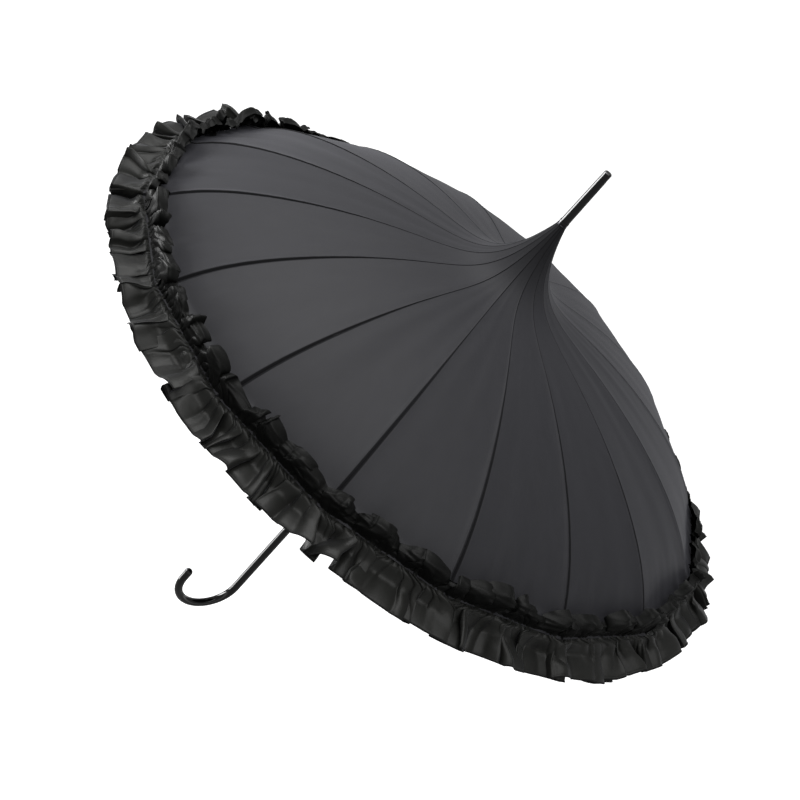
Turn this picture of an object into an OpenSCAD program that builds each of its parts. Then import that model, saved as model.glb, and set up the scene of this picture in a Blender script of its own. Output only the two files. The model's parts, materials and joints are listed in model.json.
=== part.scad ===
// Manual pagoda parasol: sixteen curved ribs, a domed canopy that rises to a spire, and a crook handle.
// Millimetres. Z runs up the shaft. The origin is where the hand holds the straight part of the handle.
// Drawn open. To close, the runner slides down and every rib and stretcher folds with it.

/* [Canopy] */
// Number of ribs, stretchers and canopy strips
rib_count = 16; // [16]
// Radius of the canopy at the rib tips
rim_r = 450; // [420:5:480]
// Height of the rib tips above the grip
rim_z = 465; // [440:5:520]
// Rise of the dome above the rib tips
dome_h = 156; // [140:2:175]
// Rise of the spire above the dome
spire_h = 106; // [80:2:120]
// Distance outward over which the spire falls to about a third
spire_fall = 28; // [22:1:34]
// Radius at which the spire is seamed to the strips
spire_r = 40; // [36:1:50]
// Thickness of the cloth solid
cloth_t = 1; // [0.8:0.1:1.5]
// Width of the gathered ruffle, measured down its slope
ruffle_w = 75; // [50:5:90]
// Slope of the ruffle below horizontal, in degrees
ruffle_droop = 34; // [20:1:45]
// Thickness of the ruffle solid
ruffle_t = 2; // [1.5:0.5:6]

/* [Ribs and stretchers] */
// Radius of the hinge circle on the crown and on the runner
hinge_r = 11; // [10.5:0.1:12]
// Radius of the rivets that join ribs and stretchers
rivet_r = 205; // [190:5:220]
// Length of a stretcher between its two pivots
stretcher_len = 225; // [215:1:240]
// Width of the rib channel
rib_w = 3.2; // [3:0.1:3.6]
// Depth of the rib channel
rib_d = 3.4; // [3.2:0.1:3.8]
// Wall thickness of the rib channel
rib_wall = 0.7; // [0.6:0.05:0.8]
// Thickness of the flattened ends that run in the slots
blade_t = 1.4; // [1.2:0.1:1.4]
// Width of a stretcher between its flattened ends
stretcher_w = 2.4; // [2.2:0.1:2.6]
// Diameter of the rivets
rivet_d = 1.2; // [1:0.1:1.2]

/* [Shaft] */
// Outer diameter of the shaft tube
shaft_d = 10; // [9.6:0.1:10.2]
// Wall thickness of the shaft tube
shaft_wall = 1; // [0.8:0.1:1.2]
// Travel of the runner from open to closed
runner_travel = 268; // [262:1:269]

/* [Handle and ferrule] */
// Diameter of the crook handle
handle_d = 12; // [11.8:0.1:13]
// Height of the handle's upper end above the grip
handle_top = 85; // [70:1:90]
// Depth of the crook's first bend below the grip
crook_z = 52; // [40:1:70]
// Radius of the crook's bend, to its centre line
crook_r = 48; // [40:1:55]
// Length of the straight end of the crook
crook_leg = 13; // [8:1:25]
// Length of the ferrule with its end cap
ferrule_len = 93; // [80:1:110]
// Diameter of the ferrule at its foot
ferrule_d = 14; // [13:0.5:15]
// Diameter of the ferrule's end cap
cap_d = 11.4; // [11:0.1:12]
// Length of the end cap that shows
cap_len = 12; // [10:1:14]

/* [Hidden] */
$fn = 48;
// Share of the dome's fall that grows with the square of the radius; the rest comes at the rim
dome_round = 0.88;
rim_power = 12;
// Clearances: fixed fits, running fits, blades in slots and between strips of cloth
fit_gap = 0.03;
run_gap = 0.05;
slot_gap = 0.2;
cloth_gap = 0.3;

half_angle = 180 / rib_count;
shaft_r = shaft_d / 2;
// Drop of the rib's top and of its pivots below the cloth's outer face
rib_top = cloth_t + 0.4;
pivot_drop = rib_top + 2.2;
pivot_z = rim_z + dome_z(hinge_r) - pivot_drop;
rivet_at = on_dome(rivet_r, pivot_drop);
stretcher_tilt = acos((rivet_at[0] - hinge_r) / stretcher_len);
runner_z = rivet_at[1] - stretcher_len * sin(stretcher_tilt);
neck_r = 8;
neck_z = rim_z + dome_h + spire_h;
collar_h = 8;
ferrule_z = neck_z + collar_h;
// Foot of the shaft inside the handle, and its depth inside the ferrule
shaft_foot = 5;
socket_d = 35;
// The channel starts and the groove starts this far from the shaft
channel_r = 22;
groove_r = 30;
eye_r = 2;
// Half depths of the stretcher's bar and blades, and the length of its blades
bar_half = 1.5;
blade_half = 1.2;
blade_len = 16;
crown_r = 14;
crown_half = 4;
slot_floor_r = 8.6;
wire_r = 0.6;
// Runner: collar above and below its hinge circle, tube and thumb ring
collar_r = 15;
collar_up = 6;
collar_down = 7;
tube_r = 6.8;
tube_len = 60;
ring_r = 10;
ring_h = 8;
// Catches: nose, leaf and slot
nose_r = 7.6;
nose_h = 12;
leaf_h = 30;
catch_t = 2;
open_catch_z = runner_z - tube_len - 0.5;
closed_catch_z = runner_z - runner_travel - 32;

// A node's name with its two-figure number
function numbered(stem, k) = str(stem, k < 10 ? "0" : "", k);

// Height of the dome above the rim, and its slope, at radius r
function dome_z(r) = dome_h * (1 - dome_round * pow(r / rim_r, 2) - (1 - dome_round) * pow(r / rim_r, rim_power));
function dome_slope(r) = -dome_h / rim_r
    * (2 * dome_round * r / rim_r + (1 - dome_round) * rim_power * pow(r / rim_r, rim_power - 1));

// The spire's share of the cloth's height, and its slope
function spire_z(r) = spire_h * exp(-(r - neck_r) / spire_fall);
function spire_slope(r) = -spire_z(r) / spire_fall;

// A point [radius, height] a given depth under a surface of height z and slope s at radius r
function under(r, z, s, depth) = [r, z] + depth * [s, -1] / sqrt(1 + s * s);
function on_dome(r, depth) = under(r, rim_z + dome_z(r), dome_slope(r), depth);
function on_cloth(r, depth) =
    under(r, rim_z + dome_z(r) + spire_z(r), dome_slope(r) + spire_slope(r), depth);

// Radii from a to b in n steps, crowded towards a by the power
function radii(a, b, n, power = 1) = [for (i = [0 : n]) a + (b - a) * pow(i / n, power)];

// Closed outline between two depths under the dome
module rib_band(a, b, top, bottom, n) {
    steps = radii(a, b, n);
    polygon([
        for (r = steps) on_dome(r, top),
        for (i = [n : -1 : 0]) on_dome(steps[i], bottom)
    ]);
}

// Closed outline of the cloth between two radii
module cloth_band(a, b, n, power) {
    steps = radii(a, b, n, power);
    polygon([
        for (r = steps) on_cloth(r, 0),
        for (i = [n : -1 : 0]) on_cloth(steps[i], cloth_t)
    ]);
}

// Extrudes an outline drawn in the plane of a rib, centred on that plane
module upright(thickness) {
    rotate([90, 0, 0]) linear_extrude(thickness, center = true) children();
}

// Round bar across the plane of a rib
module cross_bar(at, d, len) {
    translate([at[0], 0, at[1]]) rotate([90, 0, 0]) cylinder(d = d, h = len, center = true);
}

// Turns a sub-part to the place of rib k
module at_rib(k) {
    rotate((k - 1) * 2 * half_angle) children();
}

// Ring of slots for the flattened ends
module slots(low, high) {
    for (k = [1 : rib_count]) at_rib(k)
        translate([slot_floor_r, -blade_t / 2 - slot_gap, low])
            cube([collar_r, blade_t + 2 * slot_gap, high - low]);
}

module shaft() {
    color("#2a2a2d") difference() {
        translate([0, 0, shaft_foot]) cylinder(r = shaft_r, h = ferrule_z + socket_d - shaft_foot);
        cylinder(r = shaft_r - shaft_wall, h = neck_z + 100);
        for (z = [open_catch_z - nose_h, closed_catch_z])
            translate([0, -catch_t / 2 - slot_gap, z - 0.5])
                cube([shaft_d, catch_t + 2 * slot_gap, nose_h + 1]);
        cross_bar([0, stop_z()], 2 + 2 * fit_gap, 2 * shaft_d);
    }
}

// Straight grip, crook that bends away from the grip towards -X, and a short straight end
module crook_handle() {
    color("#0c0c0e") difference() {
        union() {
            translate([0, 0, -crook_z]) cylinder(d = handle_d, h = handle_top + crook_z - 1.5);
            translate([0, 0, handle_top - 1.5]) cylinder(d1 = handle_d, d2 = handle_d - 1.4, h = 1.5);
            translate([-crook_r, 0, -crook_z]) rotate([-90, 0, 0])
                rotate_extrude(angle = 180) translate([crook_r, 0]) circle(d = handle_d);
            translate([-2 * crook_r, 0, -crook_z]) cylinder(d = handle_d, h = crook_leg);
            translate([-2 * crook_r, 0, crook_leg - crook_z]) sphere(d = handle_d);
        }
        translate([0, 0, shaft_foot - fit_gap]) cylinder(r = shaft_r + fit_gap, h = handle_top);
    }
}

// Tapered spike with a socket for the shaft below and a hole for the cap above
module ferrule() {
    body = ferrule_len - cap_len;
    color("#0c0c0e") translate([0, 0, ferrule_z + fit_gap]) difference() {
        union() {
            cylinder(d = ferrule_d, h = 3);
            translate([0, 0, 3]) cylinder(d1 = ferrule_d - 1, d2 = cap_d + 0.4, h = body - 3);
        }
        translate([0, 0, -1]) cylinder(r = shaft_r + fit_gap, h = socket_d + 2);
        translate([0, 0, body - 14]) cylinder(r = 3, h = 15);
    }
}

module ferrule_cap() {
    color("#141416") translate([0, 0, ferrule_z + ferrule_len - cap_len + 2 * fit_gap]) {
        translate([0, 0, -12]) cylinder(r = 3 - fit_gap, h = 13);
        cylinder(d = cap_d, h = cap_len - 1);
        translate([0, 0, cap_len - 1]) cylinder(d1 = cap_d, d2 = cap_d - 2, h = 1);
    }
}

// Turned ring that holds the cloth's neck down on the shaft
module canopy_cap() {
    color("#3a3a40") translate([0, 0, neck_z]) rotate_extrude() {
        difference() {
            union() {
                translate([shaft_r + fit_gap, 0]) square([1.6, collar_h]);
                translate([5.4, collar_h / 2]) circle(r = 2);
                translate([5.4, 0]) square([1.5, collar_h]);
            }
            square([shaft_r + fit_gap, collar_h]);
        }
    }
}

// The cloth's cone from the neck to the strips, with its hem turned in on the shaft
module canopy_spire() {
    color("#2b2b30") union() {
        rotate_extrude() cloth_band(neck_r, spire_r - 0.5, 14, 1.4);
        rotate_extrude() translate([shaft_r + run_gap, neck_z - 3.2])
            square([neck_r - shaft_r - 0.2, 3]);
    }
}

module crown() {
    color("#8f8f94") difference() {
        translate([0, 0, pivot_z - crown_half]) cylinder(r = crown_r, h = 2 * crown_half);
        cylinder(r = shaft_r + fit_gap, h = neck_z);
        slots(pivot_z - crown_half - 1, pivot_z + crown_half + 1);
        rotate_extrude() translate([hinge_r - wire_r - 0.1, pivot_z - wire_r - 0.1])
            square([crown_r, 2 * wire_r + 0.2]);
    }
}

// Hinge ring through the rib eyes
module crown_wire() {
    color("#b8b8bc") translate([0, 0, pivot_z])
        rotate_extrude() translate([hinge_r, 0]) circle(r = wire_r);
}

// Slotted collar, tube with the closed catch's window, and thumb ring
module runner() {
    color("#1a1a1c") translate([0, 0, runner_z]) difference() {
        union() {
            translate([0, 0, -collar_down]) cylinder(r = collar_r, h = collar_up + collar_down);
            translate([0, 0, -tube_len]) cylinder(r = tube_r, h = tube_len);
            translate([0, 0, -tube_len]) cylinder(r = ring_r, h = ring_h);
            translate([0, 0, ring_h - tube_len]) cylinder(r1 = ring_r, r2 = tube_r, h = 4);
        }
        translate([0, 0, -tube_len - 1]) cylinder(r = shaft_r + run_gap, h = tube_len + collar_up + 2);
        slots(-collar_down - 1, collar_up + 1);
        translate([0, -catch_t / 2 - 0.5, -33]) cube([ring_r, catch_t + 1, nose_h + 2]);
    }
}

// Height of the stop pin, just above the open runner
function stop_z() = runner_z + collar_up + 1.3;

module stop_pin() {
    color("#b8b8bc") cross_bar([0, stop_z()], 2, 15);
}

// Leaf spring with a wedge nose: square face at z = 0, slope and leaf below it
module spring_catch() {
    leaf_foot = -nose_h - leaf_h;
    upright(catch_t) polygon([
        [1, 0], [nose_r, 0], [nose_r, -2], [shaft_r - 0.4, -nose_h], [2, -nose_h], [2, leaf_foot], [1, leaf_foot]
    ]);
}

module open_catch() {
    color("#b8b8bc") translate([0, 0, open_catch_z]) spring_catch();
}

module closed_catch() {
    color("#b8b8bc") translate([0, 0, closed_catch_z]) mirror([0, 0, 1]) spring_catch();
}

// Curved channel rib: flattened eye at the crown, rivet hole at the stretcher, bead at the tip
module rib() {
    color("#3c3c40") difference() {
        union() {
            upright(rib_w) rib_band(channel_r, rim_r - 3, rib_top, rib_top + rib_d, 26);
            upright(blade_t) {
                rib_band(hinge_r, groove_r, rib_top, rib_top + rib_d, 4);
                translate([hinge_r, pivot_z]) circle(r = eye_r);
            }
            tip = on_dome(rim_r - 3, rib_top + 2.7);
            translate([tip[0], 0, tip[1]]) sphere(d = 5.4);
        }
        upright(rib_w - 2 * rib_wall)
            rib_band(groove_r, rim_r - 12, rib_top + rib_wall, rib_top + rib_d + 2, 24);
        cross_bar([hinge_r, pivot_z], 2 * wire_r + 0.2, 2 * rib_w);
        cross_bar(rivet_at, rivet_d + 2 * run_gap, 2 * rib_w);
    }
}

// Bar with a flattened end in the rib's channel, its rivet, and a flattened eye in the runner
module stretcher() {
    color("#55555a") translate([rivet_at[0], 0, rivet_at[1]]) rotate([0, 180 - stretcher_tilt, 0]) {
        upright(stretcher_w)
            translate([blade_len, -bar_half]) square([stretcher_len - 2 * blade_len, 2 * bar_half]);
        upright(blade_t) difference() {
            union() {
                circle(r = 1.35);
                translate([0, -blade_half]) square([stretcher_len, 2 * blade_half]);
                translate([stretcher_len, 0]) circle(r = eye_r);
            }
            translate([stretcher_len, 0]) circle(r = 0.7);
        }
        cross_bar([0, 0], rivet_d, rib_w + 0.4);
        for (side = [-1, 1]) translate([0, side * (rib_w / 2 + 0.4), 0])
            rotate([90, 0, 0]) cylinder(d = 2.2, h = 0.6, center = true);
    }
}

// One sixteenth of the canopy, centred on its rib, and its length of ruffle
module canopy_strip() {
    part_line = cloth_gap / 2 / sin(half_angle);
    color("#222226") translate([part_line, 0, 0]) rotate(-half_angle) {
        rotate_extrude(angle = 2 * half_angle) cloth_band(spire_r, rim_r - 0.5, 22, 1.3);
        rotate_extrude(angle = 2 * half_angle) translate([rim_r, rim_z]) rotate(-ruffle_droop)
            translate([0, -ruffle_t / 2]) square([ruffle_w, ruffle_t]);
    }
}

shaft();
crook_handle();
ferrule();
ferrule_cap();
canopy_cap();
canopy_spire();
crown();
crown_wire();
runner();
open_catch();
closed_catch();
stop_pin();
for (k = [1 : rib_count]) {
    at_rib(k) rib();
    at_rib(k) stretcher();
    at_rib(k) canopy_strip();
}
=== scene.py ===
"""Looks of the pagoda parasol: satin canopy, gathered ruffle, lacquer, enamel and steel, round the CAD frame.

Everything is in metres in the row frame: Z runs up the shaft, rib 01 points along +X, and the origin is the
grip. Each rib carries one panel of cloth, from the middle of one gore to the middle of the next, so its seam
runs down the panel's centre line. The gathered trim is cut into the same sixteen lengths.
"""

import json
import math

import bpy
import numpy as np
from mathutils import Matrix, Vector, noise


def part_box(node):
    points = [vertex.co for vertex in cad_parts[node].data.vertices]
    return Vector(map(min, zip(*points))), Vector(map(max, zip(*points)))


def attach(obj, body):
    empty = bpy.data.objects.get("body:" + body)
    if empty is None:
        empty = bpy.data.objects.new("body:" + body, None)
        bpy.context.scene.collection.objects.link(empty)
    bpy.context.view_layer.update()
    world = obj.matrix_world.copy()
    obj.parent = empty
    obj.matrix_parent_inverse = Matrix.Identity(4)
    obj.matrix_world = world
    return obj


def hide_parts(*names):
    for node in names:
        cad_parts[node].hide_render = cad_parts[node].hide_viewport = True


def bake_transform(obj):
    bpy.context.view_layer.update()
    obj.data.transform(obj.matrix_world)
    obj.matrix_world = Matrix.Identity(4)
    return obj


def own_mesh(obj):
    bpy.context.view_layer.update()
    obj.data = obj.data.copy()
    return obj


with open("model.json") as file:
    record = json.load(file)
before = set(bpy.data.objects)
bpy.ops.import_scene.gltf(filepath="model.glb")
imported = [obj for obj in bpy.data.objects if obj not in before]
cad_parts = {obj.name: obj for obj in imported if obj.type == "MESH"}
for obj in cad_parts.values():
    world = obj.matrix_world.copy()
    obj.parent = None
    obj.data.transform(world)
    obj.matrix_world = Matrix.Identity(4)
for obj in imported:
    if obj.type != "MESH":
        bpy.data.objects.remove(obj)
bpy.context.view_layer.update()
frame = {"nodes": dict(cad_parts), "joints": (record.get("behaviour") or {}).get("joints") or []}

# ---------------------------------------------------------------- sizes from the frame
MM = 0.001
JOINTS = {j["name"]: j for j in frame["joints"]}
RIB_COUNT = sum(1 for name in JOINTS if name.startswith("rib_"))
RIBS = range(1, RIB_COUNT + 1)
TURN = 2 * math.pi / RIB_COUNT
HINGE = Vector(JOINTS["rib_01_hinge"]["pos_m"])
NECK_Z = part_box("canopy_cap")[0][2]
SPIRE_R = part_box("canopy_spire")[1][0]
FERRULE_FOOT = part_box("ferrule")[0][2]
GRIP_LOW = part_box("crook_handle")[0][2]

# The canopy's section, as the CAD has it
RIM_R = 450 * MM
DOME_H = 156 * MM
SPIRE_H = 106 * MM
SPIRE_FALL = 28 * MM
NECK_R = 8 * MM
DOME_ROUND = 0.88
RIM_POWER = 12
RIM_Z = NECK_Z - DOME_H - SPIRE_H

# The cloth that bends between the shaft and the ribs reaches past the CAD's spire, over the inner strips,
# so that smaller gaps open round the crown when the frame is folded
YOKE_R = SPIRE_R + 95 * MM

# The trim, measured down its slope from the last visible point of a seam
TRIM_SLOPE = math.radians(34)
GATHER_AT = 27 * MM
FLOUNCE_END = 77 * MM
HEADER_START = -2 * MM
FULLNESS = 2.1

# ---------------------------------------------------------------- the photograph's view
CAMERA_TURN = -46.4
CAMERA_RISE = 28.3
CAMERA_ROLL = 42.0
CAMERA_DISTANCE = 2.775
AIM_RIGHT = -0.057
AIM_UP = -0.057
LENS_MM = 90.3


def rib_angle(k):
    """Direction of rib k round the shaft, in radians."""
    return (k - 1) * TURN


def smoothstep(x):
    x = np.clip(x, 0, 1)
    return x * x * (3 - 2 * x)


# ---------------------------------------------------------------- the canopy's surface
def cloth_z(r):
    """Height of the seams at radius r: a dome, and a spire that falls away from the neck."""
    x = r / RIM_R
    dome = DOME_H * (1 - DOME_ROUND * x**2 - (1 - DOME_ROUND) * x**RIM_POWER)
    return RIM_Z + dome + SPIRE_H * np.exp(-(r - NECK_R) / SPIRE_FALL)


def seam_point(r):
    """Radius and height on the seam; past the rim it runs straight down the trim's slope."""
    beyond = np.maximum(r - RIM_R, 0)
    inside = np.minimum(r, RIM_R)
    return inside + beyond * math.cos(TRIM_SLOPE), cloth_z(inside) - beyond * math.sin(TRIM_SLOPE)


def taut_point(angle, side, r):
    """Points of the cloth stretched between one rib's seam (side 0) and its neighbours' seams (side +-2).

    side and r are arrays. side runs along the straight chord between two seams, and +-1 is mid-gore.
    """
    radius, height = seam_point(r)
    share = np.abs(side) / 2
    other = angle + np.sign(side) * TURN
    x = radius * ((1 - share) * math.cos(angle) + share * np.cos(other))
    y = radius * ((1 - share) * math.sin(angle) + share * np.sin(other))
    return np.stack([x, y, height], axis=-1)


def grid_normals(points):
    """Unit normals of a grid of points, facing out of the canopy."""
    along = np.gradient(points, axis=0)
    across = np.gradient(points, axis=1)
    n = np.cross(along, across)
    n /= np.linalg.norm(n, axis=-1, keepdims=True) + 1e-12
    if n[..., 2].sum() < 0:
        n = -n
    return n


def field(points, scale, seed=0.0):
    """Smooth noise at each point, about -1 to 1, with features about 1/scale metres wide."""
    flat = points.reshape(-1, 3) * scale + seed
    values = np.array([noise.noise(Vector(p)) for p in flat])
    return values.reshape(points.shape[:-1])


def creased(values):
    """Sharp creases, 0 to 1, where smooth noise crosses zero."""
    return 1 - np.minimum(np.abs(values) * 3, 1)


def grid_mesh(name, points, uv, normals=None, inside_out=False):
    """A smooth quad mesh from a grid of points, with a UV map in metres."""
    rows, columns = points.shape[:2]
    index = np.arange(rows * columns).reshape(rows, columns)
    quads = np.stack([index[:-1, :-1], index[1:, :-1], index[1:, 1:], index[:-1, 1:]], axis=-1).reshape(-1, 4)
    if inside_out:
        quads = quads[:, ::-1]
    mesh = bpy.data.meshes.new(name)
    mesh.from_pydata(points.reshape(-1, 3).tolist(), [], quads.tolist())
    layer = mesh.uv_layers.new(name="cloth")
    layer.data.foreach_set("uv", uv.reshape(-1, 2)[quads.ravel()].astype(np.float32).ravel())
    mesh.shade_smooth()
    if normals is not None:
        mesh.normals_split_custom_set_from_vertices(normals.reshape(-1, 3).tolist())
    obj = bpy.data.objects.new(name, mesh)
    bpy.context.scene.collection.objects.link(obj)
    return obj


# ---------------------------------------------------------------- panels and spire
SEAM_COLUMNS = np.array([0, 0.5, 1.0, 1.5, 2.1, 2.9, 4.0]) * MM
OPEN_COLUMNS = 12
PANEL_ROWS = 130
YOKE_ROWS = 44
SPARE = 1


def column_sides(r):
    """Chord places of the columns at radius r: close together by the seam, then even to one past mid-gore."""
    half = r * math.sin(TURN / 2)
    near = SEAM_COLUMNS[None, :] * seam_growth(r)[:, None]
    near = np.minimum(near, half[:, None] * SEAM_COLUMNS / SEAM_COLUMNS[-1] * 0.5)
    steps = np.arange(1, OPEN_COLUMNS + 1 + SPARE) / OPEN_COLUMNS
    far = near[:, -1:] + (half[:, None] - near[:, -1:]) * steps
    right = np.concatenate([near, far], axis=1) / half[:, None]
    return np.concatenate([-right[:, :0:-1], right], axis=1)


def seam_growth(r):
    """How much wider the seam is towards the rim, where the rib's tip pulls it, and finer up the spire."""
    fine = 0.45 + 0.45 * smoothstep((r - YOKE_R) / (0.3 * RIM_R))
    return fine + 1.5 * smoothstep((r - 0.4 * RIM_R) / (0.6 * RIM_R))


def cloth_run(r):
    """Length of cloth from the neck down to radius r, along a seam."""
    stops = np.linspace(NECK_R * 0.5, RIM_R * 1.15, 3000)
    radius, height = seam_point(stops)
    run = np.concatenate([[0], np.cumsum(np.hypot(np.diff(radius), np.diff(height)))])
    return np.interp(r, stops, run)


def seam_relief(across, r):
    """Height of the felled seam at a distance across it: a soft welt with a stitched-down ditch beside it."""
    growth = seam_growth(r)
    across = across / growth
    welt = (0.1 + 0.35 * growth) * MM * np.exp(-((across / (2.4 * MM)) ** 2))
    ditch = 1.2 * growth * MM * np.exp(-(((across - 1.2 * MM) / (0.6 * MM)) ** 2))
    return (welt - ditch) * smoothstep((r - NECK_R) / (30 * MM))


def panel_grid(angle, r):
    """Points, normals and UVs of the cloth round one seam, for radii r with a spare row at each end."""
    sides = column_sides(r)
    radii = np.broadcast_to(r[:, None], sides.shape)
    base = taut_point(angle, sides, radii)
    across = sides * radii * math.sin(TURN / 2)
    polar = np.arctan2(base[..., 1], base[..., 0])
    long_way = np.stack([np.cos(polar) * 1.2, np.sin(polar) * 1.2, radii * 0.5], axis=-1)
    swell = 0.9 * MM * field(long_way, 9.0) * smoothstep(radii / (200 * MM))
    near_seam = np.exp(-np.abs(across) / (11 * MM))
    pucker = 0.28 * MM * field(base, 95.0, 4.0) * near_seam * smoothstep((radii - 60 * MM) / (80 * MM))
    hem = smoothstep((radii - 0.86 * RIM_R) / (0.14 * RIM_R))
    pull = 1.3 * MM * field(np.stack([polar * 2.2, polar * 0, radii * 1.5], axis=-1), 11.0, 9.0) * hem
    normal = grid_normals(base)
    points = base + normal * (seam_relief(across, radii) + swell + pucker + pull)[..., None]
    uv = np.stack([across, cloth_run(radii)], axis=-1)
    normal = grid_normals(points)
    inner = (slice(SPARE, -SPARE), slice(SPARE, -SPARE))
    return points[inner], normal[inner], uv[inner]


def with_spares(r):
    """Adds one more radius at each end, so that normals at a piece's edge match the next piece's."""
    return np.concatenate([[2 * r[0] - r[1]], r, [2 * r[-1] - r[-2]]])


def canopy_panel(k):
    """The cloth on rib k from the yoke to the gathering line of the trim."""
    share = np.linspace(0, 1, PANEL_ROWS) ** 1.12
    r = YOKE_R + (RIM_R + GATHER_AT + 1.5 * MM - YOKE_R) * share
    points, normals, uv = panel_grid(rib_angle(k), with_spares(r))
    return grid_mesh(f"panel_{k:02d}", points, uv, normals)


def spire_panel(k):
    """The cloth on rib k from the neck under the canopy cap, down the spire, to the yoke."""
    share = np.linspace(0, 1, YOKE_ROWS) ** 1.3
    r = NECK_R * 0.9 + (YOKE_R - NECK_R * 0.9) * share
    points, normals, uv = panel_grid(rib_angle(k), with_spares(r))
    return grid_mesh(f"spire_{k:02d}", points, uv, normals)


# ---------------------------------------------------------------- the gathered trim
def uneven_edges(rng, count, uneven):
    """Places round the rim, counted in gores, of the edges of folds of uneven width."""
    widths = 1 + uneven * rng.uniform(-1, 1, count)
    return np.concatenate([[0], np.cumsum(widths)]) / widths.sum() * RIB_COUNT


def find_fold(edges, turns):
    """Each place's fold, its share of the way across that fold, and the fold's width in gores."""
    place = np.mod(turns, RIB_COUNT)
    i = np.clip(np.searchsorted(edges, place, side="right") - 1, 0, len(edges) - 2)
    width = edges[i + 1] - edges[i]
    return i, (place - edges[i]) / width, width


class Folds:
    """Irregular folds round the whole rim. A fold is a bump whose sides lean and overhang."""

    def __init__(self, per_gore, seed, uneven, lean):
        rng = np.random.default_rng(seed)
        count = per_gore * RIB_COUNT
        self.edges = uneven_edges(rng, count, uneven)
        self.heights = rng.uniform(0.4, 1, count)
        self.leans = rng.uniform(-lean, lean, count)
        self.flat_tops = rng.uniform(0, 1, count)

    def at(self, turns, overhang):
        """Height (0 to 1), sideways shift and width in gores, at places round the rim counted in gores."""
        i, q, width = find_fold(self.edges, turns)
        rise = np.sin(math.pi * q)
        soft = rise**2
        crisp = smoothstep(1 - np.abs(2 * q - 1))
        height = self.heights[i] * (soft + self.flat_tops[i] * (crisp - soft) * 0.6)
        shift = -overhang * np.sin(2 * math.pi * q) + self.leans[i] * rise**2
        return height, shift * width, width


class Pleats:
    """Crisp pleats round the whole rim: a broad flat face, then a short one that folds back under it."""

    def __init__(self, per_gore, seed, uneven):
        rng = np.random.default_rng(seed)
        count = per_gore * RIB_COUNT
        self.edges = uneven_edges(rng, count, uneven)
        self.heights = rng.uniform(0.45, 1, count)
        self.crests = rng.uniform(0.58, 0.8, count)
        self.overs = rng.uniform(0.05, 0.5, count)
        self.mirrored = rng.uniform(0, 1, count) < 0.38

    def at(self, turns, overhang):
        """As in Folds, but each pleat has its own overhang, so the one asked for isn't used."""
        i, q, width = find_fold(self.edges, turns)
        flip = self.mirrored[i]
        q = np.where(flip, 1 - q, q)
        crest, over = self.crests[i], self.overs[i]
        height = self.heights[i] * soft_lower(q / crest, (1 - q) / (1 - crest), 0.1)
        place = soft_lower((1 + over) * q / crest, 1 + over * (1 - q) / (1 - crest), 0.06)
        shift = (place - q) * np.minimum(1, 12 * (1 - q))
        shift = np.where(flip, -shift, shift)
        return height, shift * width, width


def soft_lower(a, b, rounding):
    """The lower of two values, with the corner between them rounded."""
    near = np.clip(0.5 + 0.5 * (b - a) / rounding, 0, 1)
    return b * (1 - near) + a * near - rounding * near * (1 - near)


# The trim's shape isn't the same all round. These two directions are fitted to its outline in the photograph
HIGH_SIDE = math.radians(CAMERA_TURN + 78)
LOW_SIDE = math.radians(CAMERA_TURN + 282)
LOBES = Folds(per_gore=3, seed=7, uneven=0.6, lean=0.3)
COARSE = Pleats(per_gore=7, seed=5, uneven=0.6)
MIDDLE = Folds(per_gore=13, seed=11, uneven=0.5, lean=0.3)
FINE = Folds(per_gore=27, seed=23, uneven=0.35, lean=0.2)
CURLS = Folds(per_gore=6, seed=31, uneven=0.65, lean=0.75)
TRIM_COLUMNS = 300
HEM = 3.2 * MM
STITCHED_IN = 3.5 * MM
HEM_SHARES = [0.935, 0.945, 0.955, 0.965, 0.975, 0.985, 0.993, 1.0]
FLOUNCE_SHARES = np.concatenate([np.linspace(0, 0.92, 27), HEM_SHARES])
HEADER_SHARES = np.linspace(0, 1, 20)


def trim_base(turns, down):
    """Point, outward slope, sideways direction and upward normal of the trim's mean surface."""
    nearest = np.round(turns)
    off = turns - nearest
    angle = turns * TURN
    chord = math.cos(TURN / 2) / np.cos(TURN / 2 - np.abs(off) * TURN)
    round_off = smoothstep((down - GATHER_AT) / (FLOUNCE_END - GATHER_AT)) * 0.8
    radius = RIM_R * (chord * (1 - round_off) + 0.992 * round_off) + down * math.cos(TRIM_SLOPE)
    height = RIM_Z - down * math.sin(TRIM_SLOPE)
    outward = np.stack([np.cos(angle), np.sin(angle), 0 * angle], axis=-1)
    sideways = np.stack([-np.sin(angle), np.cos(angle), 0 * angle], axis=-1)
    up = np.zeros_like(outward)
    up[..., 2] = 1
    slope = outward * math.cos(TRIM_SLOPE) - up * math.sin(TRIM_SLOPE)
    normal = outward * math.sin(TRIM_SLOPE) + up * math.cos(TRIM_SLOPE)
    point = outward * radius[..., None] + up * height[..., None]
    return point, slope, sideways, normal


def ring_noise(turns, down, around, scale_down, seed):
    """Noise that closes on itself round the rim."""
    a = turns * TURN
    at = np.stack([np.cos(a) * around, np.sin(a) * around, down * scale_down + 0 * a], axis=-1)
    return field(at, 1.0, seed)


def trim_grid(k, shares):
    """Places round the rim in gores and shares down the piece, for rib k's length of trim."""
    turns = np.linspace(k - 1.5, k - 0.5, TRIM_COLUMNS)
    return np.meshgrid(turns, shares)


def fold_sum(turns, weights, overhang):
    """Height and sideways shift of several sets of folds, each with its own height array in metres."""
    lift = np.zeros_like(turns)
    shift = np.zeros_like(turns)
    gore = RIM_R * TURN
    for folds, height in weights:
        h, s, width = folds.at(turns, overhang)
        strength = np.clip(height / (0.3 * width * gore), 0, 1)
        lift += h * height
        shift += s * gore * strength
    return lift, shift


def gathers(turns):
    """The tight tucks on the gathering stitches, which the flounce and the frill share."""
    return fold_sum(turns, [(COARSE, 1.6 * MM), (MIDDLE, 1.8 * MM), (FINE, 3.0 * MM)], 0.2)


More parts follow.
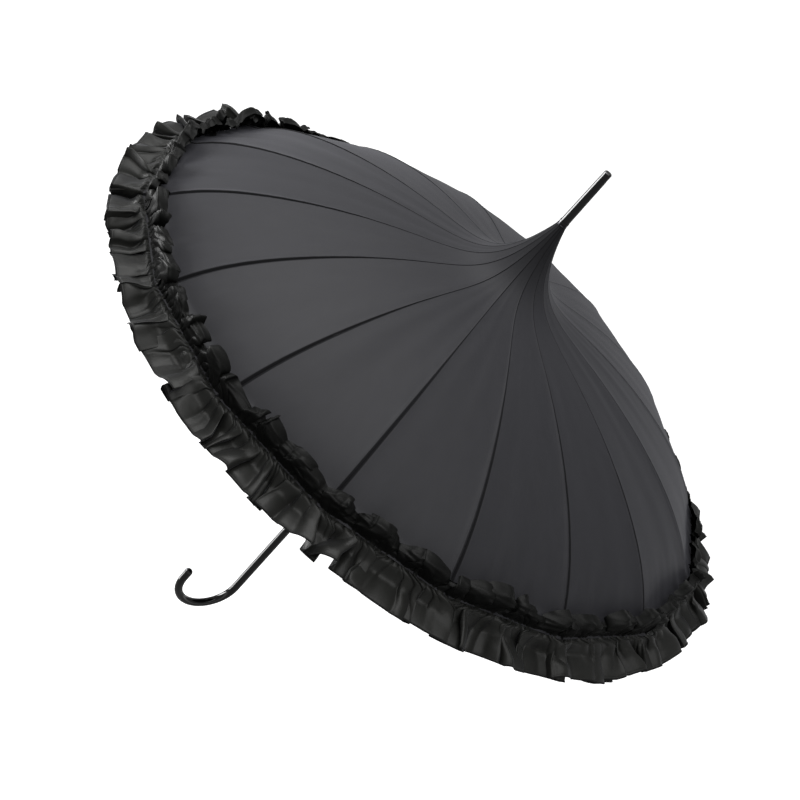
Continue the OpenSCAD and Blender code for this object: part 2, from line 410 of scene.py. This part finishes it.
def settled(turns):
    """0 to 1: where the photograph's outline shows the trim lying flatter."""
    return smoothstep((np.cos(turns * TURN - HIGH_SIDE) - 0.15) / 0.55)


def hanging(turns):
    """0 to 1: where the photograph's outline shows the trim hanging lower."""
    return smoothstep((np.cos(turns * TURN - LOW_SIDE) - 0.4) / 0.55)


def flounce(k):
    """The wide lower part of the trim: tight gathers at the stitching that open into big crisp folds."""
    turns, share = trim_grid(k, FLOUNCE_SHARES)
    length = FLOUNCE_END - GATHER_AT + 6 * MM * ring_noise(turns, 0 * share, 9.0, 0, 3.0)
    length = length + 6 * MM * hanging(turns)
    down = GATHER_AT + length * share
    point, slope, sideways, normal = trim_base(turns, down)
    opened = smoothstep(share / 0.45)
    weights = [
        (LOBES, 21 * MM * smoothstep(share / 0.95)),
        (COARSE, (3 + 20 * opened) * MM),
        (MIDDLE, (2 + 3 * opened) * MM),
        (FINE, 3.2 * MM * (1 - 0.9 * smoothstep(share / 0.7))),
    ]
    lift, shift = fold_sum(turns, weights, 0.21)
    tight_lift, tight_shift = gathers(turns)
    start = smoothstep(share / 0.14)
    lift = tight_lift * (1 - start) + lift * start
    shift = tight_shift * (1 - start) + shift * start
    crumple = 1.5 * MM * creased(ring_noise(turns, down, 34.0, 22.0, 2.0)) * smoothstep(share / 0.2)
    tilt = 7 * MM * share * ring_noise(turns, down, 7.0, 4.0, 8.0)
    lift = lift + crumple + tilt - 14 * MM * opened - STITCHED_IN * (1 - start)
    lift = lift - 10 * MM * opened * (settled(turns) + hanging(turns))
    from_hem = (1 - share) * length
    rolled = 0.5 * MM * smoothstep((HEM - from_hem) / (0.4 * HEM))
    stitched = 0.35 * MM * np.exp(-(((from_hem - HEM) / (0.5 * MM)) ** 2))
    hem = rolled - stitched
    points = point + normal * (lift + hem)[..., None] + sideways * shift[..., None]
    points -= slope * (0.3 * np.abs(lift) * share)[..., None]
    cloth_down = GATHER_AT + (FLOUNCE_END - GATHER_AT) * share
    return grid_mesh(f"flounce_{k:02d}", points, trim_uv(turns, cloth_down))


def header(k):
    """The narrow upper frill, which stands off the canopy and falls back over it in curls."""
    turns, share = trim_grid(k, HEADER_SHARES)
    curl = CURLS.at(turns, 0)[0]
    wander = 5 * MM * ring_noise(turns, 0 * share, 19.0, 0, 5.0)
    reach = GATHER_AT - HEADER_START + wander + 20 * MM * (curl - 0.45)
    down = GATHER_AT - reach * share
    point, slope, sideways, normal = trim_base(turns, down)
    opened = smoothstep(share / 0.75)
    weights = [
        (CURLS, 14 * MM * opened),
        (COARSE, 9 * MM * opened),
        (MIDDLE, (1.8 + 3.0 * opened) * MM),
        (FINE, (3.0 - 1.5 * opened) * MM),
    ]
    lift, shift = fold_sum(turns, weights, 0.25)
    tight_lift, tight_shift = gathers(turns)
    start = smoothstep(share / 0.25)
    flat = settled(turns)
    bow = (2 + 13 * curl) * MM * np.sin(math.pi * np.clip(share * 0.9, 0, 1)) - 1.0 * MM * share
    arch = bow * (1 - 0.8 * flat)
    crumple = 3.0 * MM * creased(field(point, 110.0, 6.0)) * start
    folds = lift * (1 - 0.65 * flat)
    lift = (tight_lift - STITCHED_IN) * (1 - start) + (folds + crumple) * start + arch
    shift = tight_shift * (1 - start) + shift * start
    points = point + normal * lift[..., None] + sideways * shift[..., None]
    spill = 7 * MM * np.sin(math.pi * share) * curl * hanging(turns)
    points += slope * (spill + 0.35 * np.abs(lift) * share)[..., None]
    return grid_mesh(f"header_{k:02d}", points, trim_uv(turns, down), inside_out=True)


def trim_uv(turns, down):
    """UVs in metres of uncut, ungathered cloth."""
    return np.stack([turns * RIM_R * TURN * FULLNESS, down], axis=-1)


# ---------------------------------------------------------------- materials
STITCH_PITCH = 2.6 * MM


def material(name):
    """An empty node material and its shader."""
    made = bpy.data.materials.new(name)
    made.use_nodes = True
    return made, made.node_tree.nodes["Principled BSDF"]


def add(mat, kind, **values):
    """Adds a node; a value named after a socket sets it, and any other sets a property."""
    made = mat.node_tree.nodes.new(kind)
    for key, value in values.items():
        socket = made.inputs.get(key.replace("_", " "))
        if socket is not None:
            socket.default_value = value
        else:
            setattr(made, key, value)
    return made


def join(mat, source, target):
    mat.node_tree.links.new(source, target)


def two_tone(mat, factor, dark, light):
    """Mixes two colours by a factor socket."""
    ramp = add(mat, "ShaderNodeValToRGB")
    ramp.color_ramp.elements[0].color = (*dark, 1)
    ramp.color_ramp.elements[1].color = (*light, 1)
    join(mat, factor, ramp.inputs["Fac"])
    return ramp.outputs["Color"]


def mapped(mat, scale, output="UV"):
    """Texture coordinates stretched by a scale on each axis."""
    coords = add(mat, "ShaderNodeTexCoord")
    stretch = add(mat, "ShaderNodeMapping")
    stretch.inputs["Scale"].default_value = scale
    join(mat, coords.outputs[output], stretch.inputs["Vector"])
    return stretch.outputs["Vector"]


def calculate(mat, operation, *inputs):
    """A math node fed by sockets or plain numbers."""
    node = add(mat, "ShaderNodeMath", operation=operation)
    for i, value in enumerate(inputs):
        if isinstance(value, bpy.types.NodeSocket):
            join(mat, value, node.inputs[i])
        else:
            node.inputs[i].default_value = value
    return node.outputs["Value"]


def band(mat, place, middle, half, soft):
    """1 where a coordinate is within half of middle, falling to 0 over soft."""
    away = calculate(mat, "ABSOLUTE", calculate(mat, "SUBTRACT", place, middle))
    fall = add(mat, "ShaderNodeMapRange", interpolation_type="SMOOTHSTEP")
    fall.inputs["From Min"].default_value = half
    fall.inputs["From Max"].default_value = half + soft
    fall.inputs["To Min"].default_value = 1
    fall.inputs["To Max"].default_value = 0
    join(mat, away, fall.inputs["Value"])
    return fall.outputs["Result"]


def darken(mat, colour, mask, strength):
    """Multiplies a colour towards black where the mask is 1."""
    mix = add(mat, "ShaderNodeMix", data_type="RGBA", blend_type="MULTIPLY")
    for socket in mix.inputs:
        if socket.type == "RGBA" and socket.name == "B":
            socket.default_value = (1 - strength, 1 - strength, 1 - strength, 1)
        if socket.type == "RGBA" and socket.name == "A":
            join(mat, colour, socket)
    join(mat, mask, mix.inputs["Factor"])
    return next(o for o in mix.outputs if o.type == "RGBA")


def spread(mat, factor, low, high):
    """Maps a 0 to 1 factor onto low to high."""
    node = add(mat, "ShaderNodeMapRange")
    node.inputs["To Min"].default_value = low
    node.inputs["To Max"].default_value = high
    join(mat, factor, node.inputs["Value"])
    return node.outputs["Result"]


def cloth_places(mat):
    """The UV map's coordinates in metres: across a seam or along the rim, and down the cloth."""
    parts = add(mat, "ShaderNodeSeparateXYZ")
    join(mat, mapped(mat, (1, 1, 1)), parts.inputs["Vector"])
    return parts.outputs["X"], parts.outputs["Y"]


def stitch_row(mat, along, across, middle):
    """Height of one row of stitches: raised dashes along one coordinate, at one place on the other."""
    pulse = calculate(mat, "SINE", calculate(mat, "MULTIPLY", along, 2 * math.pi / STITCH_PITCH))
    row = band(mat, across, middle, 0.15 * MM, 0.2 * MM)
    return calculate(mat, "MULTIPLY", row, calculate(mat, "GREATER_THAN", pulse, -0.5))


def seam_shade_and_stitches(mat):
    """Painted shade on a panel, in the ditch by its seam and towards the neck, and the height of the seam's
    stitches.
    """
    across, down = cloth_places(mat)
    growth = add(mat, "ShaderNodeValToRGB")
    curve = growth.color_ramp
    while len(curve.elements) < 5:
        curve.elements.new(0.5)
    for stop, share in zip(curve.elements, (0.05, 0.3, 0.45, 0.7, 1.0)):
        value = float(seam_growth(share * RIM_R)) / 3
        stop.position = float(cloth_run(share * RIM_R))
        stop.color = (value, value, value, 1)
    join(mat, down, growth.inputs["Fac"])
    narrowed = calculate(mat, "DIVIDE", across, calculate(mat, "MULTIPLY", growth.outputs["Color"], 3.0))
    # Painted shade: the colour is darkened in the ditch beside the seam, where the welt casts its shadow.
    shade = band(mat, narrowed, 1.2 * MM, 1.0 * MM, 0.8 * MM)
    # Painted shade: the colour is also darkened down the spire, towards the neck; the cloth there is no
    # darker.
    gathered = calculate(mat, "MULTIPLY", band(mat, down, 0, 40 * MM, 110 * MM), 0.62)
    return calculate(mat, "MAXIMUM", shade, gathered), stitch_row(mat, down, across, -2.6 * MM)


def hem_shade_and_stitches(mat):
    """Painted shade along the trim's rolled hem, and the height of its stitches."""
    along, down = cloth_places(mat)
    # Painted shade: the colour is darkened along the hem's rolled edge.
    shade = band(mat, down, FLOUNCE_END, 1.6 * MM, 1.0 * MM)
    return shade, stitch_row(mat, along, down, FLOUNCE_END - HEM + 0.6 * MM)


def satin(name, dark, light, roughness, sheen, bump, marks, specular):
    """Black satin: fine warp and weft, slubs along the threads, faint mottling and a soft sheen."""
    mat, shader = material(name)
    shade, stitches = marks(mat)
    threads = add(mat, "ShaderNodeTexNoise", Scale=1.0, Detail=2.0, Roughness=0.6)
    join(mat, mapped(mat, (2600, 240, 1)), threads.inputs["Vector"])
    weft = add(mat, "ShaderNodeTexWave", Scale=1.0, Distortion=0.6, bands_direction="Y")
    join(mat, mapped(mat, (700, 700, 1)), weft.inputs["Vector"])
    mottle = add(mat, "ShaderNodeTexNoise", Scale=1.0, Detail=4.0, Roughness=0.55)
    join(mat, mapped(mat, (60, 22, 1)), mottle.inputs["Vector"])
    cloth = two_tone(mat, mottle.outputs["Fac"], dark, light)
    # The shade mask paints shade into the colour: it darkens the cloth in the seams, towards the neck and
    # along the hems.
    join(mat, darken(mat, cloth, shade, 0.78), shader.inputs["Base Color"])
    rough = spread(mat, threads.outputs["Fac"], roughness - 0.05, roughness + 0.07)
    dulled = calculate(mat, "MULTIPLY", shade, 0.5)
    join(mat, calculate(mat, "ADD", rough, dulled), shader.inputs["Roughness"])
    weave = calculate(mat, "ADD", threads.outputs["Fac"], weft.outputs["Fac"])
    relief = add(mat, "ShaderNodeBump", Strength=bump, Distance=0.00008)
    join(mat, weave, relief.inputs["Height"])
    thread = add(mat, "ShaderNodeBump", Strength=0.6, Distance=0.0003)
    join(mat, stitches, thread.inputs["Height"])
    join(mat, relief.outputs["Normal"], thread.inputs["Normal"])
    join(mat, thread.outputs["Normal"], shader.inputs["Normal"])
    shader.inputs["Specular IOR Level"].default_value = specular
    shader.inputs["Sheen Weight"].default_value = sheen
    shader.inputs["Sheen Roughness"].default_value = 0.45
    shader.inputs["Sheen Tint"].default_value = (0.75, 0.76, 0.85, 1)
    return mat


def lacquer(name, colour, roughness, coat):
    """Gloss black finish with a little orange peel and fine handling marks in the gloss."""
    mat, shader = material(name)
    peel = add(mat, "ShaderNodeTexNoise", Scale=420.0, Detail=2.0)
    join(mat, mapped(mat, (1, 1, 1), "Object"), peel.inputs["Vector"])
    marks = add(mat, "ShaderNodeTexNoise", Scale=60.0, Detail=6.0, Roughness=0.7)
    join(mat, mapped(mat, (1, 1, 0.25), "Object"), marks.inputs["Vector"])
    gloss = spread(mat, marks.outputs["Fac"], roughness * 0.6, roughness * 1.6)
    join(mat, gloss, shader.inputs["Roughness"])
    lighter = tuple(c * 1.5 for c in colour)
    join(mat, two_tone(mat, marks.outputs["Fac"], colour, lighter), shader.inputs["Base Color"])
    relief = add(mat, "ShaderNodeBump", Strength=0.12, Distance=0.0002)
    join(mat, peel.outputs["Fac"], relief.inputs["Height"])
    join(mat, relief.outputs["Normal"], shader.inputs["Normal"])
    shader.inputs["Specular IOR Level"].default_value = 0.25
    shader.inputs["Coat Weight"].default_value = coat
    shader.inputs["Coat Roughness"].default_value = 0.06
    return mat


def metal(name, dark, light, roughness, stretch):
    """Plated or drawn steel: fine lines along the stretch, with tarnish in the low places."""
    mat, shader = material(name)
    lines = add(mat, "ShaderNodeTexNoise", Scale=900.0, Detail=3.0)
    join(mat, mapped(mat, stretch, "Object"), lines.inputs["Vector"])
    tarnish = add(mat, "ShaderNodeTexNoise", Scale=70.0, Detail=5.0)
    join(mat, mapped(mat, (1, 1, 1), "Object"), tarnish.inputs["Vector"])
    join(mat, two_tone(mat, tarnish.outputs["Fac"], dark, light), shader.inputs["Base Color"])
    rough = spread(mat, lines.outputs["Fac"], roughness * 0.7, roughness * 1.4)
    join(mat, rough, shader.inputs["Roughness"])
    shader.inputs["Metallic"].default_value = 1.0
    return mat


# ---------------------------------------------------------------- building the object
def dress(node, mat):
    """Gives a CAD node its finish."""
    slots = frame["nodes"][node].data.materials
    slots.clear()
    slots.append(mat)


def on_rib(obj, k, mat):
    """Gives a soft piece its finish, puts it on rib k's body and gives it a mesh of its own."""
    obj.data.materials.append(mat)
    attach(obj, f"rib_{k:02d}_body")
    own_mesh(obj)


def build_canopy(cloth):
    for k in RIBS:
        panel = canopy_panel(k)
        on_rib(panel, k, cloth)
        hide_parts(f"canopy_strip_{k:02d}")
        spire = spire_panel(k)
        spire.data.materials.append(cloth)
        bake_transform(spire)
        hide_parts("canopy_spire")


def build_trim(flounce_cloth, header_shaded_cloth):
    for k in RIBS:
        lower = flounce(k)
        on_rib(lower, k, flounce_cloth)
        upper = header(k)
        on_rib(upper, k, header_shaded_cloth)


def build_frame():
    enamel = lacquer("shaft_enamel", (0.003, 0.003, 0.0033), 0.2, 0.3)
    gloss = lacquer("handle_lacquer", (0.002, 0.002, 0.0022), 0.1, 0.9)
    tip = lacquer("ferrule_lacquer", (0.002, 0.002, 0.0022), 0.12, 0.9)
    nickel = metal("dark_nickel", (0.03, 0.03, 0.033), (0.07, 0.07, 0.075), 0.16, (1, 1, 1))
    plate = metal("frame_steel", (0.32, 0.32, 0.34), (0.55, 0.55, 0.57), 0.3, (1, 1, 0.1))
    bright = metal("bright_wire", (0.5, 0.5, 0.52), (0.72, 0.72, 0.74), 0.22, (1, 1, 0.1))
    coat = lacquer("rib_enamel", (0.010, 0.010, 0.011), 0.3, 0.1)
    moulded = lacquer("runner_plastic", (0.008, 0.008, 0.009), 0.28, 0.0)
    finishes = {
        "shaft": enamel,
        "crook_handle": gloss,
        "ferrule": tip,
        "ferrule_cap": tip,
        "canopy_cap": nickel,
        "crown": plate,
        "crown_wire": bright,
        "runner": moulded,
        "open_catch": bright,
        "closed_catch": bright,
        "stop_pin": bright,
    }
    for node, finish in finishes.items():
        dress(node, finish)
    for k in RIBS:
        dress(f"rib_{k:02d}", coat)
        dress(f"stretcher_{k:02d}", coat)


# ---------------------------------------------------------------- studio
SKY = 0.22
FLOOR_BOUNCE = 0.22


def studio():
    """Pale floor well below the crook, hidden from bounced and mirrored light, and pale surroundings.

    The surroundings are darker overhead and below, which keeps the canopy and its trim as dark as they are.
    """
    floor_z = GRIP_LOW - 0.9
    bpy.ops.mesh.primitive_plane_add(size=120, location=(0, 0, floor_z))
    floor = bpy.context.object
    floor.name = "floor"
    paper, shader = material("paper_floor")
    grain = add(paper, "ShaderNodeTexNoise", Scale=3.0, Detail=3.0)
    tone = two_tone(paper, grain.outputs["Fac"], (0.93, 0.93, 0.93), (0.95, 0.95, 0.95))
    join(paper, tone, shader.inputs["Base Color"])
    shader.inputs["Roughness"].default_value = 0.9
    shader.inputs["Specular IOR Level"].default_value = 0.0
    shader.inputs["Emission Color"].default_value = (1, 1, 1, 1)
    shader.inputs["Emission Strength"].default_value = 0.5
    floor.data.materials.append(paper)
    floor.visible_diffuse = False
    floor.visible_glossy = False
    world = bpy.data.worlds.new("studio")
    world.use_nodes = True
    nodes = world.node_tree.nodes
    links = world.node_tree.links
    coords = nodes.new("ShaderNodeTexCoord")
    parts = nodes.new("ShaderNodeSeparateXYZ")
    fade = nodes.new("ShaderNodeValToRGB")
    stops = fade.color_ramp.elements
    for place, value in ((0.49, 0.78), (0.55, 0.68)):
        stops.new(place).color = (value, value, value, 1)
    stops[0].position, stops[3].position = 0.42, 0.63
    stops[0].color = (FLOOR_BOUNCE, FLOOR_BOUNCE, FLOOR_BOUNCE, 1)
    stops[3].color = (SKY, SKY, SKY, 1)
    middle = nodes.new("ShaderNodeMapRange")
    middle.inputs["From Min"].default_value = -1
    links.new(coords.outputs["Generated"], parts.inputs["Vector"])
    links.new(parts.outputs["Z"], middle.inputs["Value"])
    links.new(middle.outputs["Result"], fade.inputs["Fac"])
    links.new(fade.outputs["Color"], nodes["Background"].inputs["Color"])
    nodes["Background"].inputs["Strength"].default_value = 1.0
    bpy.context.scene.world = world
    bpy.context.scene.view_settings.view_transform = "Standard"


def camera_axes():
    """The camera's right, up and backward directions in the row frame."""
    turn, rise = math.radians(CAMERA_TURN), math.radians(CAMERA_RISE)
    back = Vector((math.sin(turn) * math.cos(rise), -math.cos(turn) * math.cos(rise), math.sin(rise)))
    level = Vector((0, 0, 1)).cross(back).normalized()
    plumb = back.cross(level)
    roll = math.radians(CAMERA_ROLL)
    right = level * math.cos(roll) + plumb * math.sin(roll)
    return right, back.cross(right), back


def place_camera():
    right, up, back = camera_axes()
    aim = Vector((0, 0, RIM_Z)) + right * AIM_RIGHT + up * AIM_UP
    data = bpy.data.cameras.new("camera")
    data.lens = LENS_MM
    data.sensor_width = 36
    camera = bpy.data.objects.new("camera", data)
    turn = Matrix((right, up, back)).transposed()
    camera.matrix_world = Matrix.Translation(aim + back * CAMERA_DISTANCE) @ turn.to_4x4()
    bpy.context.scene.collection.objects.link(camera)
    bpy.context.scene.camera = camera


def softbox(name, turn, rise, away, middle_z, size, power):
    """A rectangular lamp facing the axis, at a rise and at a turn from the camera (left is negative)."""
    back = camera_axes()[2]
    heading = math.atan2(back.y, back.x) + math.radians(turn)
    up_angle = math.radians(rise)
    level = math.cos(up_angle)
    out = Vector((math.cos(heading) * level, math.sin(heading) * level, math.sin(up_angle)))
    middle = Vector((0, 0, middle_z))
    data = bpy.data.lights.new(name, "AREA")
    data.shape = "RECTANGLE"
    data.size, data.size_y = size
    data.energy = power
    lamp = bpy.data.objects.new(name, data)
    lamp.location = middle + out * away
    lamp.rotation_euler = (-out).to_track_quat("-Z", "Y").to_euler()
    lamp.visible_camera = False
    bpy.context.scene.collection.objects.link(lamp)


def floor_light():
    """A wide even lamp on the floor's side, so that the floor reads as white paper."""
    data = bpy.data.lights.new("wash", "SUN")
    data.energy = 1.4
    data.angle = math.radians(60)
    lamp = bpy.data.objects.new("wash", data)
    lamp.rotation_euler = (math.radians(18), math.radians(-12), 0)
    bpy.context.scene.collection.objects.link(lamp)


studio()
place_camera()
softbox("key", turn=-104, rise=58, away=2.2, middle_z=0.5, size=(2.0, 1.8), power=40)
softbox("ferrule_streak", turn=-90, rise=0, away=1.7, middle_z=0.12, size=(1.2, 0.7), power=30)
softbox("handle_streak", turn=-90, rise=0, away=0.9, middle_z=-0.62, size=(0.6, 0.5), power=5)
floor_light()
build_frame()
panel_satin = satin(
    "canopy_satin",
    dark=(0.016, 0.016, 0.019),
    light=(0.022, 0.022, 0.026),
    roughness=0.55,
    sheen=0.1,
    bump=0.25,
    marks=seam_shade_and_stitches,
    specular=0.3,
)
flounce_satin = satin(
    "flounce_satin",
    dark=(0.008, 0.0082, 0.007),
    light=(0.013, 0.0133, 0.0115),
    roughness=0.4,
    sheen=0.08,
    bump=0.3,
    marks=hem_shade_and_stitches,
    specular=0.28,
)
# Painted shade: the frill's cloth is the flounce's, with its colour made darker for a frill that stands in
# shade.
header_shaded_satin = satin(
    "header_shaded_satin",
    dark=(0.0028, 0.0029, 0.0027),
    light=(0.0056, 0.0058, 0.0054),
    roughness=0.45,
    sheen=0.0,
    bump=0.3,
    marks=hem_shade_and_stitches,
    specular=0.13,
)
build_canopy(panel_satin)
build_trim(flounce_satin, header_shaded_satin)
